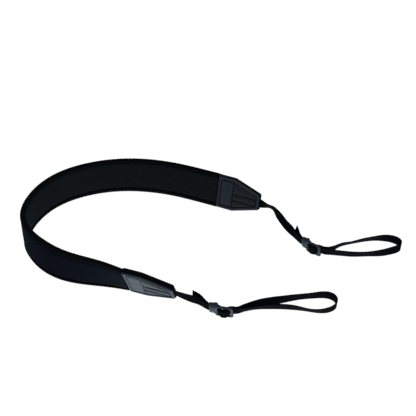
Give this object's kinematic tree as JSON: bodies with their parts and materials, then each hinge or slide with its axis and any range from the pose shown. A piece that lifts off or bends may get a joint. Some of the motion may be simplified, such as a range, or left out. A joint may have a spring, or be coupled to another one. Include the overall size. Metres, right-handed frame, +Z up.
{
  "type": "camera neck strap",
  "caption": "Padded neck band with tapered end caps, and a narrow webbing at each end threaded through a slide buckle into a closed loop, laid on its lower edge in an open C.",
  "frame": {"origin": "middle of the ground that the laid strap covers, on the surface it stands on", "axes": "+Z up, the open side of the band's C and the two loops towards +X, the cap, buckle and loop nearest in the picture towards -Y"},
  "size_m": [0.4156, 0.2606, 0.041],
  "materials": {
    "pad_outer": "dark navy stretch fabric over foam",
    "pad_inner": "dark grey fine twill",
    "binding": "black folded tape, stitched",
    "cap_core": "matt black, ribbed edge",
    "cap_face": "slate grey synthetic leather, stitched, left bare",
    "webbing": "black woven nylon",
    "buckle": "slate grey moulded plastic"
  },
  "bodies": {
    "root": {"outer_panel": "pad_outer", "inner_panel": "pad_inner", "upper_binding": "binding", "lower_binding": "binding", "near_cap_core": "cap_core", "far_cap_core": "cap_core", "near_cap_outer": "cap_face", "near_cap_inner": "cap_face", "far_cap_outer": "cap_face", "far_cap_inner": "cap_face", "near_webbing": "webbing", "far_webbing": "webbing", "near_buckle": "buckle", "far_buckle": "buckle"}
  },
  "joints": []
}
